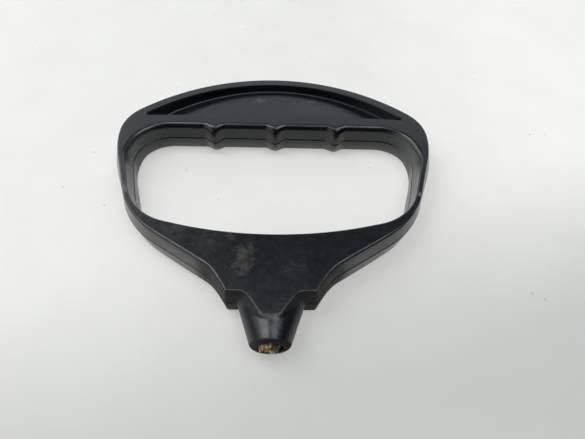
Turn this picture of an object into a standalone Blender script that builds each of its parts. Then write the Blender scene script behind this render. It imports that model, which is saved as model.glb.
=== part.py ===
"""Recoil starter handle: a one-piece moulded D-handle with the stub of its starter rope.

The handle lies on its back face, +Z up, X across the grip, the rope nose towards -Y and the
grip towards +Y. Sections are drawn about the parting plane, at half the thickness, with Y
measured from the end of the nose; the objects' location then brings the foot of the handle's
box to the origin. Sizes are in metres.
"""

import math

import bmesh
import bpy
from mathutils import Vector

# Overall sizes, on the front face
thickness = 0.0141
face_half_width = 0.0654
length = 0.1271
crown_rise = 0.03603
corner_radius = 0.0185

# Grip bar, side arms and the web that tapers to the nose
grip_height = 0.0305
arm_face_top = 0.0039
arm_face_side = 0.0020
arm_bend_drop = 0.00657
arm_bend_radius = 0.040
arm_lean = math.radians(17.0)
heel_radius = 0.035
web_rise = math.radians(32.8)
flare_half_width = 0.0205
flare_height = 0.0256
flare_radius = 0.012
shoulder_height = 0.0166
ledge_width = 0.00304
shoulder_radius = 0.0008

# Hand opening, with the three finger ridges under the grip bar
opening_corner_radius = 0.0175
opening_bend_radius = 0.004
opening_heel_radius = 0.022
opening_floor_height = 0.0391
opening_floor_radius = 0.150
opening_floor_slope = math.radians(14.0)
ridge_pitch = 0.0264
ridge_half_width = 0.0048
ridge_rise_edge = 0.0014
ridge_rise_middle = 0.0031

# Walls: they swell from the two faces to the parting line, and their edges are rounded
web_swell = 0.00125
grip_swell = 0.0023
swell_low_height = 0.058
swell_high_height = 0.078
edge_radius = 0.0005
web_edge_radius = 0.0009
web_edge_low_start = 0.018
web_edge_low_end = 0.025
web_edge_high_end = 0.038
web_edge_high_start = 0.047
grip_edge_radius = 0.0022
grip_edge_low_height = 0.0750
grip_edge_high_height = 0.0845
web_back_step = 0.0005
step_low_height = 0.030
step_high_height = 0.046
arm_back_fill = 0.0019
fill_low_start = 0.006
fill_low_end = 0.016
fill_high_start = 0.016
fill_high_end = 0.003

# Nose: a cone flattened on both faces, with the rope bore and the pocket for the knot
nose_end_wall = 0.00225
nose_end_round = 0.0011
nose_spread = 0.335
nose_climb = 0.030
tongue_low_height = 0.0072
tongue_high_height = 0.0089
tongue_step = 0.00062
root_climb = 0.270
nose_fillet = 0.0020
nose_face_fillet = 0.0042
nose_foot = 0.0027
nose_inset = 0.0001
bore_radius = 0.00425
pocket_half_width = 0.0075
pocket_wall = 0.00185
pocket_depth = 0.0091

# Segment-shaped recess in each face of the grip bar
rim_width = 0.0041
lip_width = 0.0058
recess_side_wall = 0.0101
recess_web = 0.0077
recess_tip_drop = 0.0026
recess_edge_sag = 0.0013
recess_tip_width = 0.0017
recess_draft = 0.0004
recess_edge_round = 0.0004
recess_floor_round = 0.0007

# Rope
rope_slack = 0.00065
rope_end_inset = 0.0006
rope_end_round = 0.0003
rope_lie = math.radians(217.0)
rope_clearance = 0.0003
knot_side_gap = 0.0013
knot_face_gap = 0.0006
knot_sink = 0.00145

# Fineness of the facets
arc_step = math.radians(9.0)
longest_step = 0.008
full_run = 0.98
crown_steps = 9
ridge_steps = 6
fillet_steps = 5
nose_steps = 36
step_steps = 4
root_steps = 5
knot_steps = 8
round_steps = 28
overrun = 0.002

half = thickness / 2
grip_outer = length + grip_swell
centre_y = grip_outer / 2
corner_centre = Vector((face_half_width - corner_radius, length - crown_rise))
crown_radius = (corner_centre.x**2 + crown_rise**2 - corner_radius**2) / (
    2 * (crown_rise - corner_radius)
)
crown_centre_y = length - crown_radius
nose_end_radius = bore_radius + nose_end_wall
shoulder_half_width = nose_end_radius + nose_spread * shoulder_height + ledge_width
pocket_half_depth = half - pocket_wall
pocket_floor_height = opening_floor_height - pocket_depth
rope_radius = bore_radius - rope_slack
knot_half_width = pocket_half_width - knot_side_gap
knot_half_depth = pocket_half_depth - knot_face_gap


def clear_scene():
    """Removes every object, so that the script always starts from an empty scene."""
    for obj in list(bpy.data.objects):
        bpy.data.objects.remove(obj, do_unlink=True)


def collection(name, hidden):
    group = bpy.data.collections.new(name)
    bpy.context.scene.collection.children.link(group)
    group.hide_render = hidden
    return group


def material(name, colour, roughness):
    made = bpy.data.materials.new(name)
    made.use_nodes = True
    shader = made.node_tree.nodes["Principled BSDF"]
    shader.inputs["Base Color"].default_value = (*colour, 1.0)
    shader.inputs["Roughness"].default_value = roughness
    shader.inputs["Metallic"].default_value = 0.0
    return made


def smooth_step(low, high, value):
    share = min(max((value - low) / (high - low), 0.0), 1.0)
    return share * share * (3.0 - 2.0 * share)


def meet(first, first_way, second, second_way):
    """The point where two lines cross, each given by a point and a direction."""
    across = first_way.x * second_way.y - first_way.y * second_way.x
    gap = second - first
    return first + first_way * ((gap.x * second_way.y - gap.y * second_way.x) / across)


def rounded(corners, count=None):
    """A path through (point, radius) corners, each rounded by an arc tangent to both sides."""
    turns = [0.0]
    reaches = [0.0]
    for (before, _), (point, radius), (after, _) in zip(corners, corners[1:], corners[2:]):
        turns.append(math.pi - (before - point).angle(after - point))
        reaches.append(radius * math.tan(turns[-1] / 2))
    reaches.append(0.0)
    shares = [1.0] * len(corners)
    for index in range(len(corners) - 1):
        room = full_run * (corners[index + 1][0] - corners[index][0]).length
        share = room / max(reaches[index] + reaches[index + 1], room)
        shares[index] = min(shares[index], share)
        shares[index + 1] = min(shares[index + 1], share)
    path = [corners[0][0]]
    for index in range(1, len(corners) - 1):
        point = corners[index][0]
        back = corners[index - 1][0] - point
        ahead = corners[index + 1][0] - point
        turn = turns[index]
        reach = reaches[index] * shares[index]
        radius = reach / math.tan(turn / 2)
        start = point + back.normalized() * reach
        middle = point + (back.normalized() + ahead.normalized()).normalized() * (
            radius / math.cos(turn / 2)
        )
        steps = count or max(
            2, math.ceil(turn / arc_step), math.ceil(radius * turn / longest_step)
        )
        side = 1.0 if back.x * ahead.y - back.y * ahead.x < 0 else -1.0
        for step in range(steps + 1):
            angle = side * turn * step / steps
            arm = start - middle
            path.append(
                middle
                + Vector(
                    (
                        arm.x * math.cos(angle) - arm.y * math.sin(angle),
                        arm.x * math.sin(angle) + arm.y * math.cos(angle),
                    )
                )
            )
    path.append(corners[-1][0])
    return path


def divided(path):
    """The path with its long straight runs cut into shorter ones."""
    fine = [path[0]]
    for start, stop in zip(path, path[1:]):
        count = math.ceil((stop - start).length / longest_step)
        fine += [start.lerp(stop, step / count) for step in range(1, count + 1)]
    return fine


def pushed(path, amounts):
    """The path with each point moved to the right of its run by its own amount."""
    moved = []
    for index, point in enumerate(path):
        before = path[max(index - 1, 0)]
        after = path[min(index + 1, len(path) - 1)]
        run = (after - before).normalized()
        moved.append(point + Vector((run.y, -run.x)) * amounts[index])
    return moved


def web_edge(height):
    """The radius of the outer edge, which is larger along the web than elsewhere."""
    share = smooth_step(web_edge_low_start, web_edge_low_end, height)
    share *= smooth_step(web_edge_high_start, web_edge_high_end, height)
    return edge_radius + (web_edge_radius - edge_radius) * share


def grip_edge(height):
    """The radius of the opening's edge, which is large where the fingers close round the grip."""
    share = smooth_step(grip_edge_low_height, grip_edge_high_height, height)
    return edge_radius + (grip_edge_radius - edge_radius) * share


def swell(height, level, radius):
    """How far a wall stands out at this level from its line on the faces, its edge rounded."""
    share = smooth_step(swell_low_height, swell_high_height, height)
    full = web_swell + (grip_swell - web_swell) * share
    extra = radius - edge_radius
    draft = (full - extra) * (1.0 - min(abs(level) / half, 1.0))
    return draft + extra - edge_cut(level, radius)


def back_step(height, level):
    """How far the web's outer edge stands out further behind than in front."""
    share = 1.0 - smooth_step(step_low_height, step_high_height, height)
    return web_back_step * share * min(max(-level / half, 0.0), 1.0)


def edge_cut(level, radius):
    """How far a rounded edge of this radius takes a wall in at this level."""
    share = min(max((abs(level) - half + radius) / radius, 0.0), 1.0)
    return radius * (1.0 - math.sqrt(1.0 - share * share))


def nose_rounding(height):
    """How far the nose's rounded end takes its outline in at this distance from the end."""
    if height >= nose_end_round:
        return 0.0
    share = 1.0 - height / nose_end_round
    return nose_end_round * (1.0 - math.sqrt(1.0 - share * share))


def nose_size(height):
    """Half the nose's width and height in its oval section at this distance from the end."""
    rise = nose_climb * height + root_climb * max(height - tongue_high_height, 0.0)
    rise += tongue_step * smooth_step(tongue_low_height, tongue_high_height, height)
    half_width = nose_end_radius + nose_spread * height - nose_rounding(height)
    half_height = nose_end_radius + rise - nose_rounding(height)
    return half_width, half_height


def nose_rings():
    """The nose's sections, from its rounded end to inside the web."""
    rounding = [nose_end_round * share for share in (0.0, 0.1, 0.4)]
    step_length = tongue_high_height - tongue_low_height
    step = [tongue_low_height + step_length * part / step_steps for part in range(step_steps)]
    root_length = shoulder_height + overrun - tongue_high_height
    root = [tongue_high_height + root_length * part / root_steps for part in range(root_steps + 1)]
    heights = rounding + [nose_end_round] + step + root
    return [oval_ring(height, *nose_size(height), nose_steps) for height in heights]


def nose_root(level, ledge):
    """Half the plate's foot: from inside the nose, by a fillet, out to the shoulder's ledge."""
    foot = ledge.y - nose_foot
    flank = []
    for height in (foot, ledge.y):
        half_width, half_height = nose_size(height)
        reach = min(abs(level), half) / half_height
        x = half_width * math.sqrt(1.0 - reach * reach) - nose_inset
        flank.append(Vector((x, height)))
    spread = (min(abs(level), half) / half) ** 2
    fillet = nose_fillet + (nose_face_fillet - nose_fillet) * spread
    corners = [(flank[0], 0.0), (flank[1], fillet), (ledge, 0.0)]
    return [Vector((0.0, foot))] + rounded(corners, fillet_steps)[:-1]


def arm_line():
    """The outer edge of the right arm on the faces: its upper bend and its direction."""
    bend = Vector((face_half_width, corner_centre.y - arm_bend_drop))
    return bend, Vector((-math.sin(arm_lean), -math.cos(arm_lean)))


def side_path():
    """Half the outer edge on the faces, from the shoulder up the web and arm to the crown."""
    bend, down = arm_line()
    flare = Vector((flare_half_width, flare_height))
    heel = meet(flare, Vector((math.cos(web_rise), math.sin(web_rise))), bend, down)
    path = rounded(
        [
            (Vector((shoulder_half_width - 1.5 * shoulder_radius, shoulder_height)), 0.0),
            (Vector((shoulder_half_width, shoulder_height)), shoulder_radius),
            (flare, flare_radius),
            (heel, heel_radius),
            (bend, arm_bend_radius),
            (Vector((face_half_width, corner_centre.y)), 0.0),
        ]
    )
    path.pop()
    turn = math.atan2(corner_centre.y - crown_centre_y, corner_centre.x)
    steps = max(2, math.ceil(turn / arc_step))
    for step in range(steps):
        angle = turn * step / steps
        arm = Vector((math.cos(angle), math.sin(angle)))
        path.append(corner_centre + corner_radius * arm)
    for step in range(crown_steps + 1):
        angle = turn + (math.pi / 2 - turn) * step / crown_steps
        path.append(
            Vector((crown_radius * math.cos(angle), crown_centre_y + crown_radius * math.sin(angle)))
        )
    return path


def mirrored(path):
    """A closed loop from half a path that starts and ends on the middle line."""
    return path + [Vector((-point.x, point.y)) for point in reversed(path[1:-1])]


def outer_loop(level):
    side = divided(side_path())
    amounts = []
    for point in side:
        radius = web_edge(point.y)
        amounts.append(swell(point.y, level, radius) + back_step(point.y, level))
    side = pushed(side, amounts)
    side[-1].x = 0.0
    return mirrored(nose_root(level, side[0]) + side)


def opening_path():
    """Half the hand opening on the faces, from the top of the middle line to its foot."""
    bend, down = arm_line()
    inward = Vector((-math.cos(arm_lean), math.sin(arm_lean))) * arm_face_side
    side = Vector((face_half_width - arm_face_top, 0.0))
    top = Vector((0.0, length - grip_height))
    floor = Vector((0.0, opening_floor_height))
    knee = meet(bend + inward, down, side, Vector((0.0, 1.0)))
    brow = Vector((side.x, top.y))
    rise = Vector((opening_floor_radius * math.tan(opening_floor_slope / 2), floor.y))
    slope = Vector((math.cos(opening_floor_slope), math.sin(opening_floor_slope)))
    heel = meet(rise, slope, knee, down)
    rest = rounded(
        [
            (Vector((ridge_pitch + ridge_half_width, top.y)), 0.0),
            (brow, opening_corner_radius),
            (knee, opening_bend_radius),
            (heel, opening_heel_radius),
            (rise, opening_floor_radius),
            (floor, 0.0),
        ]
    )
    under_grip = []
    for ridge in (0.0, ridge_pitch):
        for step in range(-ridge_steps, ridge_steps + 1):
            x = ridge + ridge_half_width * step / ridge_steps
            if x >= 0.0:
                under_grip.append(Vector((x, top.y)))
    return under_grip + rest[1:]


def ridge_rise(x, level):
    """How far the finger ridges stand out below the grip bar here."""
    offset = x - ridge_pitch * round(x / ridge_pitch)
    if abs(offset) >= ridge_half_width or abs(x) > 1.5 * ridge_pitch:
        return 0.0
    share = 1.0 - (level / half) ** 2
    height = ridge_rise_edge + (ridge_rise_middle - ridge_rise_edge) * share
    return height * math.cos(math.pi / 2 * offset / ridge_half_width) ** 2


def arm_fill(point, level):
    """The extra width that the back of each arm has on its inner side."""
    if level >= 0.0:
        return 0.0
    above = point.y - opening_floor_height
    below = length - grip_height - point.y
    share = smooth_step(fill_low_start, fill_low_end, above)
    share *= smooth_step(fill_high_end, fill_high_start, below)
    return arm_back_fill * share * min(-level / half, 1.0)


def opening_loop(level):
    path = divided(opening_path())
    amounts = []
    for point in path:
        amount = swell(point.y, level, grip_edge(point.y)) + arm_fill(point, level)
        if point.y > length - grip_height - 0.0001:
            amount += ridge_rise(point.x, level)
        amounts.append(amount)
    path = pushed(path, amounts)
    path[0].x = 0.0
    path[-1].x = 0.0
    return mirrored(path)


def wall_levels():
    """The heights at which the walls' sections are drawn, from the back to the front face."""
    large = [half - grip_edge_radius, half - 0.5 * grip_edge_radius]
    small = [half - edge_radius, half - 0.4 * edge_radius, half - 0.1 * edge_radius, half]
    upper = [0.35 * half] + large + small
    return [-level for level in reversed(upper)] + [0.0] + upper


def loft(name, rings, group, paint=None):
    """A closed solid through rings of equally many points, with a flat cap at each end."""
    mesh = bpy.data.meshes.new(name)
    made = bmesh.new()
    rows = [[made.verts.new(point) for point in ring] for ring in rings]
    for lower, upper in zip(rows, rows[1:]):
        for index in range(len(lower)):
            after = (index + 1) % len(lower)
            made.faces.new((lower[index], lower[after], upper[after], upper[index]))
    made.faces.new(list(reversed(rows[0])))
    made.faces.new(rows[-1])
    bmesh.ops.recalc_face_normals(made, faces=made.faces)
    made.to_mesh(mesh)
    made.free()
    if paint:
        mesh.materials.append(paint)
    mesh.shade_smooth()
    mesh.set_sharp_from_angle(angle=math.radians(30))
    obj = bpy.data.objects.new(name, mesh)
    group.objects.link(obj)
    obj.location = (0.0, -centre_y, half)
    return obj


def flat_ring(loop, level):
    return [(point.x, point.y, level) for point in loop]


def wall_rings(loop_at):
    """The sections of a wall, carried on past both faces so that a cut along them is clean."""
    rings = [flat_ring(loop_at(level), level) for level in wall_levels()]
    below = [(x, y, z - overrun) for x, y, z in rings[0]]
    above = [(x, y, z + overrun) for x, y, z in rings[-1]]
    return [below] + rings + [above]


def slab_rings():
    """A slab as thick as the handle and wider all round, which trims it to its two faces."""
    side = face_half_width + grip_swell + overrun
    corners = [(side, -overrun), (side, grip_outer + overrun)]
    corners += [(-x, y) for x, y in reversed(corners)]
    return [[(x, y, level) for x, y in corners] for level in (-half, half)]


def recess_edges(x):
    """The recess's lower and upper edge at this distance from the middle line."""
    tip = recess_tip()
    low = length - grip_height + lip_width - recess_edge_sag * (x / tip) ** 2
    high = crown_centre_y + math.sqrt((crown_radius - rim_width) ** 2 - x * x)
    return low, high


def recess_tip():
    """How far out the recess reaches: to a tip's width, or to the wall that it leaves beside it."""
    reach = crown_radius - rim_width
    low = length - grip_height + lip_width - recess_edge_sag
    crossing = math.sqrt(reach**2 - (low + recess_tip_width - crown_centre_y) ** 2)
    return min(crossing, face_half_width - recess_side_wall)


def recess_ring(x, low, high, share):
    """The recess's section here; share is how far out this is, from 0 to 1 at the tips."""
    floor = recess_web / 2 - recess_tip_drop * share**2
    edge = recess_edge_round
    draft = min(recess_draft, 0.2 * (high - low))
    turn = min(recess_floor_round, 0.25 * (high - low))
    half_section = [
        (-edge, half + overrun),
        (-edge, half),
        (-0.3 * edge, half - 0.3 * edge),
        (0.0, half - edge),
        (draft, floor + turn),
        (draft + 0.3 * turn, floor + 0.3 * turn),
        (draft + turn, floor),
    ]
    section = [(low + inset, level) for inset, level in half_section]
    section += [(high - inset, level) for inset, level in reversed(half_section)]
    return [(x, y, level) for y, level in section]


def recess_rings(side):
    """The recess's sections across the grip bar, from tip to tip; side is 1 in front, -1 behind."""
    tip = recess_tip()
    low, high = recess_edges(tip)
    end = [(tip, low, high, 1.0)]
    spread = (high - low) / 2
    middle = (high + low) / 2
    for angle in (math.radians(30), math.radians(60), math.radians(80)):
        pinch = spread * math.cos(angle)
        end.append((tip + spread * math.sin(angle), middle - pinch, middle + pinch, 1.0))
    stations = [(-x, *rest) for x, *rest in reversed(end)]
    count = 2 * (crown_steps + 3)
    for step in range(1, count):
        share = math.sin(math.pi / 2 * (2 * step / count - 1))
        stations.append((tip * share, *recess_edges(tip * share), abs(share)))
    rings = [recess_ring(*station) for station in stations + end]
    return [[(x, y, side * level) for x, y, level in ring] for ring in rings]


def oval_ring(height, half_width, half_depth, steps=round_steps, shift=(0.0, 0.0)):
    ring = []
    for step in range(steps):
        angle = 2 * math.pi * step / steps
        x = shift[0] + half_width * math.cos(angle)
        z = shift[1] + half_depth * math.sin(angle)
        ring.append((x, height, z))
    return ring


def slot_ring(height, half_width, half_depth):
    """A slot with round ends, as wide as it is said to be."""
    ring = []
    for step in range(round_steps):
        angle = 2 * math.pi * (step + 0.5) / round_steps
        x = half_depth * math.cos(angle)
        x += math.copysign(half_width - half_depth, x)
        ring.append((x, height, half_depth * math.sin(angle)))
    return ring


def rope_rings():
    """The rope stub from its cut end in the nose to its stopper knot in the pocket."""
    slack = bore_radius - rope_radius - rope_clearance
    shift = (slack * math.cos(rope_lie), slack * math.sin(rope_lie))
    end_radius = rope_radius - rope_end_round
    knot_start = pocket_floor_height + rope_clearance
    knot_length = opening_floor_height + web_swell - knot_sink - knot_start
    rings = [
        oval_ring(rope_end_inset, end_radius, end_radius, shift=shift),
        oval_ring(rope_end_inset + rope_end_round, rope_radius, rope_radius, shift=shift),
        oval_ring(knot_start, rope_radius, rope_radius, shift=shift),
    ]
    for step in range(1, knot_steps):
        share = step / knot_steps
        bulge = math.sqrt(math.sin(math.pi * share))
        rings.append(
            oval_ring(
                knot_start + knot_length * share,
                rope_radius + (knot_half_width - rope_radius) * bulge,
                rope_radius + (knot_half_depth - rope_radius) * bulge,
            )
        )
    rings.append(oval_ring(knot_start + knot_length, end_radius, end_radius))
    return rings


def combine(target, helper, operation):
    helper.hide_render = True
    helper.display_type = "WIRE"
    step = target.modifiers.new(helper.name, "BOOLEAN")
    step.operation = operation
    step.solver = "EXACT"
    step.object = helper


def build():
    clear_scene()
    parts = collection("recoil_starter_handle", False)
    cutters = collection("cutters", True)
    plastic = material("moulded plastic", (0.014, 0.014, 0.016), 0.42)
    fibre = material("rope fibre", (0.46, 0.31, 0.15), 0.85)

    body = loft("handle_body", wall_rings(outer_loop), parts, plastic)
    combine(body, loft("nose", nose_rings(), cutters), "UNION")
    combine(body, loft("faces", slab_rings(), cutters), "INTERSECT")
    combine(body, loft("hand_opening", wall_rings(opening_loop), cutters), "DIFFERENCE")
    combine(body, loft("front_recess", recess_rings(1), cutters), "DIFFERENCE")
    combine(body, loft("back_recess", recess_rings(-1), cutters), "DIFFERENCE")
    bore = [
        oval_ring(height, bore_radius, bore_radius)
        for height in (-overrun, pocket_floor_height + overrun)
    ]
    combine(body, loft("rope_bore", bore, cutters), "DIFFERENCE")
    pocket = [
        slot_ring(height, pocket_half_width, pocket_half_depth)
        for height in (pocket_floor_height, opening_floor_height + web_swell + overrun)
    ]
    combine(body, loft("knot_pocket", pocket, cutters), "DIFFERENCE")
    loft("rope_stub", rope_rings(), parts, fibre)


build()
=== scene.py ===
"""Recoil starter handle with the stub of its rope, lying on a pale painted surface."""

import math

import bmesh
import bpy
from mathutils import Matrix, Vector


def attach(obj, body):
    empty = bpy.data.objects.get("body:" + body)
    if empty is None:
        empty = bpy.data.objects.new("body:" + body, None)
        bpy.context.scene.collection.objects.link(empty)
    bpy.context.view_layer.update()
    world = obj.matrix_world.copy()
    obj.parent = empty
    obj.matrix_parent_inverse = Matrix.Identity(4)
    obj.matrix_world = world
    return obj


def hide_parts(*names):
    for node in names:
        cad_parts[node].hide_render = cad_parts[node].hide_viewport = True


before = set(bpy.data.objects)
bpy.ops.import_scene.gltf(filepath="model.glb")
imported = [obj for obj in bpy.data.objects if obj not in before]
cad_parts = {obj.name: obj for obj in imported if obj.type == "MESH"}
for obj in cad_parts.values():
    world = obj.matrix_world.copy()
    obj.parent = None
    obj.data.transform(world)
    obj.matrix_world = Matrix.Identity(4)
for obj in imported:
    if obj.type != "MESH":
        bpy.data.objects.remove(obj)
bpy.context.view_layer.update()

# Viewpoint
# The handle is seen from over its nose, looking down across the web to the grip bar, with
# the view rolled a little. The camera stands as far off as the photograph's perspective asks.
camera_place = Vector((0.00226, -0.1135, 0.14438))
camera_tilt = math.radians(35.943)
camera_roll = math.radians(3.221)
camera_turn = math.radians(-2.975)
camera_lens = 27.04
camera_film_width = 36.0
camera_nearest = 0.005

camera = bpy.data.objects.new("camera", bpy.data.cameras.new("camera"))
bpy.context.scene.collection.objects.link(camera)
camera.data.sensor_width = camera_film_width
camera.data.lens = camera_lens
camera.data.clip_start = camera_nearest
camera.matrix_world = (
    Matrix.Translation(camera_place)
    @ Matrix.Rotation(camera_turn, 4, "Z")
    @ Matrix.Rotation(camera_tilt, 4, "X")
    @ Matrix.Rotation(camera_roll, 4, "Z")
)
bpy.context.scene.camera = camera
bpy.context.scene.view_settings.view_transform = "Standard"

# Handle body
# One hard black plastic moulding: grip bar, two arms, web and nose. It comes from a mould in
# two halves that meet at half its thickness, where its walls stand out furthest, and it
# carries the rope bore, the knot pocket and a segment-shaped recess in each face of the grip.
thickness = 0.0141
face_half_width = 0.0654
length = 0.1271
crown_rise = 0.03603
corner_radius = 0.0185
grip_height = 0.0305
arm_face_top = 0.0039
arm_face_side = 0.0020
arm_bend_drop = 0.00657
arm_bend_radius = 0.040
arm_lean = math.radians(17.0)
heel_radius = 0.035
web_rise = math.radians(32.8)
flare_half_width = 0.0205
flare_height = 0.0256
flare_radius = 0.018
shoulder_height = 0.0166
ledge_width = 0.00304
shoulder_radius = 0.0008
ledge_run = 1.5
opening_corner_radius = 0.0175
opening_bend_radius = 0.004
opening_heel_radius = 0.022
opening_floor_height = 0.0391
opening_floor_radius = 0.150
opening_floor_slope = math.radians(14.0)
ridge_pitch = 0.0264
ridge_half_width = 0.0048
ridge_rise_edge = 0.0014
ridge_rise_middle = 0.0031
ridges_end = 1.5
web_swell = 0.00125
grip_swell = 0.0023
swell_low_height = 0.058
swell_high_height = 0.078
edge_radius = 0.0005
web_edge_radius = 0.0009
web_edge_low_start = 0.018
web_edge_low_end = 0.025
web_edge_high_end = 0.038
web_edge_high_start = 0.047
grip_edge_radius = 0.0022
grip_edge_low_height = 0.0750
grip_edge_high_height = 0.0845
web_back_step = 0.0005
step_low_height = 0.030
step_high_height = 0.046
arm_back_fill = 0.0019
fill_low_start = 0.006
fill_low_end = 0.016
fill_high_start = 0.016
fill_high_end = 0.003
knee_low = 0.0705
knee_high = 0.0860
mould_mismatch = 0.00012
parting_width = 0.00004
groove_half_width = 0.00024
groove_depth = 0.00022
nose_end_wall = 0.00225
nose_end_round = 0.0011
nose_spread = 0.335
nose_climb = 0.030
tongue_height = 0.00807
tongue_half_width = 0.00272
tongue_round = 0.00033
tongue_spread = 0.70
tongue_flare = 1.1
tongue_foot = 0.0010
tongue_edge = 0.0005
nose_fillet = 0.0020
nose_face_fillet = 0.0042
nose_foot = 0.0027
nose_inset = 0.0001
bore_radius = 0.00425
pocket_half_width = 0.0075
pocket_wall = 0.00185
pocket_depth = 0.0091
rim_width = 0.0041
lip_width = 0.0058
recess_side_wall = 0.0101
recess_web = 0.0077
recess_tip_drop = 0.0026
recess_edge_sag = 0.0013
recess_tip_width = 0.0017
recess_draft = 0.0004
recess_edge_round = 0.0004
recess_floor_round = 0.0010
recess_draft_share = 0.2
recess_round_share = 0.25

arc_step = math.radians(3.0)
longest_step = 0.0025
full_run = 0.98
crown_steps = 34
ridge_steps = 12
fillet_steps = 12
flank_steps = 96
cone_steps = 100
tongue_steps = 60
search_steps = 40
recess_stations = 72
bore_steps = 64
wall_shares = (0.12, 0.25, 0.40, 0.55)
grip_edge_turns = (0, 12, 24, 36, 48)
edge_turns = (5, 18, 32, 46, 60, 74, 90)
recess_edge_turns = (90, 68, 45, 22, 0)
recess_floor_turns = (0, 18, 36, 54, 72, 90)
recess_tip_turns = (12, 25, 38, 52, 66, 80)
nose_end_turns = range(0, 90, 12)
overrun = 0.002
flush = 0.0001
weld = 0.000002
sliver = 0.000001
crease = math.radians(32)

half = thickness / 2
centre_y = (length + grip_swell) / 2
corner_centre = Vector((face_half_width - corner_radius, length - crown_rise))
crown_radius = (corner_centre.x**2 + crown_rise**2 - corner_radius**2) / (
    2 * (crown_rise - corner_radius)
)
crown_centre_y = length - crown_radius
nose_end_radius = bore_radius + nose_end_wall
shoulder_half_width = nose_end_radius + nose_spread * shoulder_height + ledge_width
pocket_half_depth = half - pocket_wall
pocket_floor_height = opening_floor_height - pocket_depth
recess_low = length - grip_height + lip_width - recess_edge_sag
recess_crossing = math.sqrt(
    (crown_radius - rim_width) ** 2 - (recess_low + recess_tip_width - crown_centre_y) ** 2
)
recess_tip = min(recess_crossing, face_half_width - recess_side_wall)


def smooth_step(low, high, value):
    """The value's way from low to high as a share from 0 to 1, eased at both ends."""
    share = min(max((value - low) / (high - low), 0.0), 1.0)
    return share * share * (3.0 - 2.0 * share)


def meet(first, first_way, second, second_way):
    """The point where two lines cross, each given by a point and a direction."""
    across = first_way.x * second_way.y - first_way.y * second_way.x
    gap = second - first
    return first + first_way * ((gap.x * second_way.y - gap.y * second_way.x) / across)


def rounded(corners, count=None):
    """A path through (point, radius) corners, rounded by arcs that share the straight runs."""
    turns = [0.0]
    reaches = [0.0]
    for (before, _), (point, radius), (after, _) in zip(corners, corners[1:], corners[2:]):
        turns.append(math.pi - (before - point).angle(after - point))
        reaches.append(radius * math.tan(turns[-1] / 2))
    reaches.append(0.0)
    shares = [1.0] * len(corners)
    for index in range(len(corners) - 1):
        room = full_run * (corners[index + 1][0] - corners[index][0]).length
        share = room / max(reaches[index] + reaches[index + 1], room)
        shares[index] = min(shares[index], share)
        shares[index + 1] = min(shares[index + 1], share)
    path = [corners[0][0]]
    for index in range(1, len(corners) - 1):
        point = corners[index][0]
        back = (corners[index - 1][0] - point).normalized()
        ahead = (corners[index + 1][0] - point).normalized()
        turn = turns[index]
        reach = reaches[index] * shares[index]
        radius = reach / math.tan(turn / 2)
        middle = point + (back + ahead).normalized() * (radius / math.cos(turn / 2))
        arm = point + back * reach - middle
        steps = count or max(
            3, math.ceil(turn / arc_step), math.ceil(radius * turn / longest_step)
        )
        side = 1.0 if back.x * ahead.y - back.y * ahead.x < 0 else -1.0
        for step in range(steps + 1):
            angle = side * turn * step / steps
            spun = (
                arm.x * math.cos(angle) - arm.y * math.sin(angle),
                arm.x * math.sin(angle) + arm.y * math.cos(angle),
            )
            path.append(middle + Vector(spun))
    path.append(corners[-1][0])
    return path


def divided(path):
    """The path with its long runs cut into even steps."""
    fine = [path[0]]
    for start, stop in zip(path, path[1:]):
        count = math.ceil((stop - start).length / longest_step)
        fine += [start.lerp(stop, step / count) for step in range(1, count + 1)]
    return fine


def pushed(path, amounts):
    """The path with each point moved to the right of its run by its own amount."""
    moved = []
    for index, point in enumerate(path):
        run = path[min(index + 1, len(path) - 1)] - path[max(index - 1, 0)]
        run.normalize()
        moved.append(point + Vector((run.y, -run.x)) * amounts[index])
    return moved


def web_edge(height):
    """The radius of the outer edge, which is larger along the web than elsewhere."""
    share = smooth_step(web_edge_low_start, web_edge_low_end, height)
    share *= smooth_step(web_edge_high_start, web_edge_high_end, height)
    return edge_radius + (web_edge_radius - edge_radius) * share


def grip_edge(height):
    """The radius of the opening's edge, which is large where the fingers close round the grip."""
    share = smooth_step(grip_edge_low_height, grip_edge_high_height, height)
    return edge_radius + (grip_edge_radius - edge_radius) * share


def wall_swell(height, level, radius):
    """How far a wall stands out here; the front half of the mould closed a little short."""
    share = smooth_step(swell_low_height, swell_high_height, height)
    full = web_swell + (grip_swell - web_swell) * share
    if level > 0.0:
        full -= mould_mismatch
    extra = radius - edge_radius
    past = min(max((abs(level) - half + radius) / radius, 0.0), 1.0)
    cut = radius * (1.0 - math.sqrt(1.0 - past * past))
    cut += groove_depth * max(1.0 - abs(level) / groove_half_width, 0.0)
    return (full - extra) * (1.0 - min(abs(level) / half, 1.0)) + extra - cut


def back_step(height, level):
    """How much further out the web's edge stands towards the back face."""
    share = 1.0 - smooth_step(step_low_height, step_high_height, height)
    return web_back_step * share * min(max(-level / half, 0.0), 1.0)


def nose_size(height):
    """Half the nose's width and height in its oval section at this distance from the end."""
    share = max(1.0 - height / nose_end_round, 0.0)
    end = nose_end_radius - nose_end_round * (1.0 - math.sqrt(1.0 - share * share))
    return end + nose_spread * height, end + nose_climb * height


def nose_oval(x, height):
    """How far the nose's oval section stands out at this distance from its middle line."""
    half_width, half_height = nose_size(height)
    return half_height * math.sqrt(max(1.0 - (x / half_width) ** 2, 0.0))


def tongue_width(height):
    """Half the width of the web's flat tongue, which has a round tip on the nose."""
    past = max(height - tongue_height, 0.0)
    widening = math.sqrt(1.0 - math.exp(-past / tongue_round))
    return tongue_spread * past + tongue_half_width * widening


def tongue_outline():
    """Half the tongue's outline, with how far it stands out of the nose's oval at each point."""
    outline = []
    for step in range(tongue_steps + 1):
        past = (shoulder_height + 2 * overrun - tongue_height) * (step / tongue_steps) ** 3
        x, y = tongue_width(tongue_height + past), tongue_height + past
        outline.append((x, y, half - nose_oval(x, y)))
    return outline


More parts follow.
